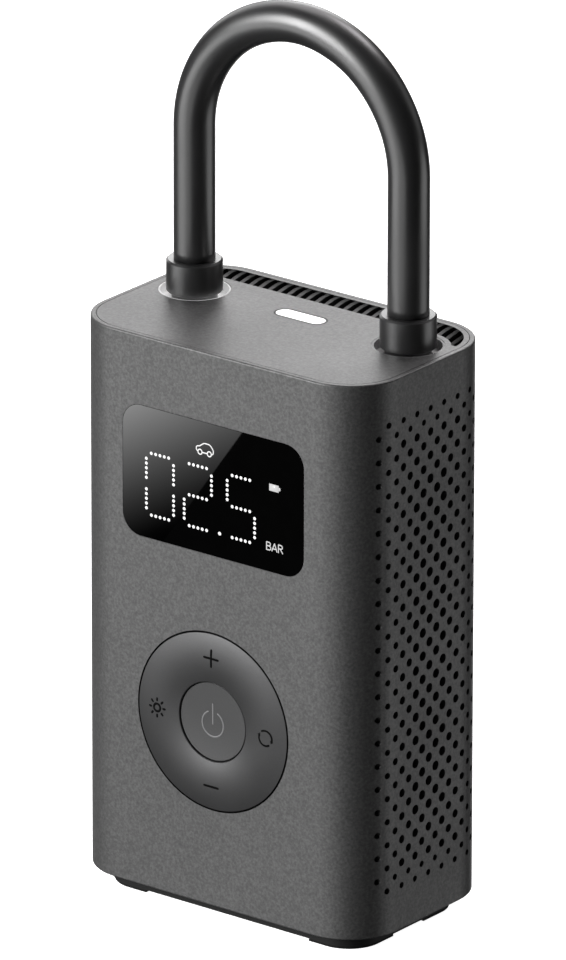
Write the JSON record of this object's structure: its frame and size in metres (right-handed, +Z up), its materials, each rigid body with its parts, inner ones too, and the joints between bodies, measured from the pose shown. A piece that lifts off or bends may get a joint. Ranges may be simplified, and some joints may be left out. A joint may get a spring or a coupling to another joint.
{
  "type": "portable electric air pump",
  "caption": "Hand-held battery air pump: upright rounded sleeve with side grilles, segment display and round key pad, piston compressor inside, short air hose stowed as a loop on top.",
  "frame": {"origin": "centre of the underside, on the surface that the feet stand on", "axes": "+Z up, +X to the right seen from the front, the display and key pad face -Y"},
  "size_m": [0.075, 0.0459, 0.1891],
  "materials": {
    "housing_grey": "fine-textured matte grey",
    "key_grey": "satin dark grey",
    "lamp_white": "milky translucent white",
    "base_black": "matte black",
    "foot_rubber": "matte black rubber",
    "steel_dark": "black-zinc steel",
    "inner_plastic": "moulded dark plastic",
    "cell_wrap": null,
    "steel_bright": "bright steel",
    "board_green": "solder-masked board",
    "parts_black": "moulded component bodies",
    "display_black": "black light-guide block",
    "window_black": "smoked gloss black",
    "filter_foam": "black filter felt",
    "aluminium_cast": "cast aluminium",
    "bronze": "sintered bronze",
    "motor_steel": "zinc-plated steel",
    "motor_plastic": "moulded end cap",
    "magnet": "ferrite",
    "copper": "copper",
    "gear_nylon": "natural nylon",
    "nickel": "satin nickel plate",
    "hose_rubber": "satin black rubber",
    "fitting_black": "satin black moulding",
    "silicone": "milky silicone"
  },
  "bodies": {
    "housing": {"air_hose": "hose_rubber", "base_cover": "base_black", "base_screws": "steel_dark", "battery_cells": "cell_wrap", "battery_tabs": "steel_bright", "battery_tray": "inner_plastic", "board_parts": "parts_black", "charge_board": "board_green", "charge_port": "steel_bright", "charge_tongue": "parts_black", "crank_bearing": "bronze", "cylinder": "aluminium_cast", "cylinder_head": "aluminium_cast", "delivery_tube": "silicone", "display_module": "display_black", "display_window": "window_black", "drive_frame": "aluminium_cast", "foot_pads": "foot_rubber", "head_screws": "steel_dark", "housing_sleeve": "housing_grey", "inner_frame": "inner_plastic", "intake_filter_left": "filter_foam", "intake_filter_right": "filter_foam", "key_guide": "inner_plastic", "key_switches": "parts_black", "lamp_board": "board_green", "lamp_lens": "lamp_white", "main_board": "board_green", "motor_bushes": "bronze", "motor_can": "motor_steel", "motor_end_cap": "motor_plastic", "motor_magnets": "magnet", "motor_terminals": "steel_bright", "outlet_bush": "nickel", "outlet_collar": "fitting_black", "outlet_nipple": "nickel", "pressure_sensor": "parts_black", "stow_socket": "inner_plastic", "top_cap": "housing_grey", "valve_plate": "steel_bright", "valve_spring": "steel_bright"},
    "ring_carrier": {"ring_carrier": "inner_plastic"},
    "key_ring": {"control_ring": "key_grey"},
    "power_key": {"power_key": "key_grey"},
    "motor_rotor": {"rotor_shaft": "steel_bright", "rotor_core": "motor_steel", "commutator": "copper", "pinion": "bronze"},
    "crank": {"crank_wheel": "gear_nylon", "crank_axle": "steel_bright", "crank_pin": "steel_bright"},
    "piston": {"piston_rod": "aluminium_cast", "piston_cup": "foot_rubber"},
    "outlet_valve": {"valve_disc": "gear_nylon"},
    "hose_end": {"hose_stem": "steel_bright", "valve_washer": "foot_rubber"},
    "valve_chuck": {"valve_collar": "fitting_black"}
  },
  "joints": [
    {"name": "ring_rock_up_down", "type": "hinge", "parent": "housing", "child": "ring_carrier", "pos_m": [0, -0.0206, 0.04385], "axis": [1, 0, 0], "range_deg": [-1.6, 1.6], "stiffness_Nm_per_rad": 1.2},
    {"name": "ring_rock_left_right", "type": "hinge", "parent": "ring_carrier", "child": "key_ring", "pos_m": [0, -0.0206, 0.04385], "axis": [0, 0, 1], "range_deg": [-1.6, 1.6], "stiffness_Nm_per_rad": 1.2},
    {"name": "power_key_press", "type": "slide", "parent": "housing", "child": "power_key", "axis": [0, 1, 0], "range_m": [0, 0.0004], "stiffness_N_per_m": 3000},
    {"name": "motor_spin", "type": "hinge", "parent": "housing", "child": "motor_rotor", "pos_m": [0, 0.0035, 0.0456], "axis": [1, 0, 0], "continuous": true},
    {"name": "crank_spin", "type": "hinge", "parent": "housing", "child": "crank", "pos_m": [0, 0.0035, 0.0636], "axis": [1, 0, 0], "continuous": true},
    {"name": "rod_turn", "type": "hinge", "parent": "crank", "child": "piston", "pos_m": [0.018, 0.0035, 0.0671], "axis": [1, 0, 0], "continuous": true},
    {"name": "outlet_valve_lift", "type": "slide", "parent": "housing", "child": "outlet_valve", "axis": [0, 0, 1], "range_m": [0, 0.0008], "stiffness_N_per_m": 300, "deforming": ["valve_spring"]},
    {"name": "hose_end_pull", "type": "slide", "parent": "housing", "child": "hose_end", "axis": [0, 0, 1], "range_m": [0, 0.014], "deforming": ["air_hose"]},
    {"name": "chuck_turn", "type": "hinge", "parent": "hose_end", "child": "valve_chuck", "pos_m": [0.0272, 0.006, 0.1216], "axis": [0, 0, 1], "continuous": true}
  ],
  "couplings": [
    {"joint": "crank_spin", "follows": "motor_spin", "ratio": -0.33333},
    {"joint": "rod_turn", "follows": "motor_spin", "ratio": 0.33333}
  ]
}
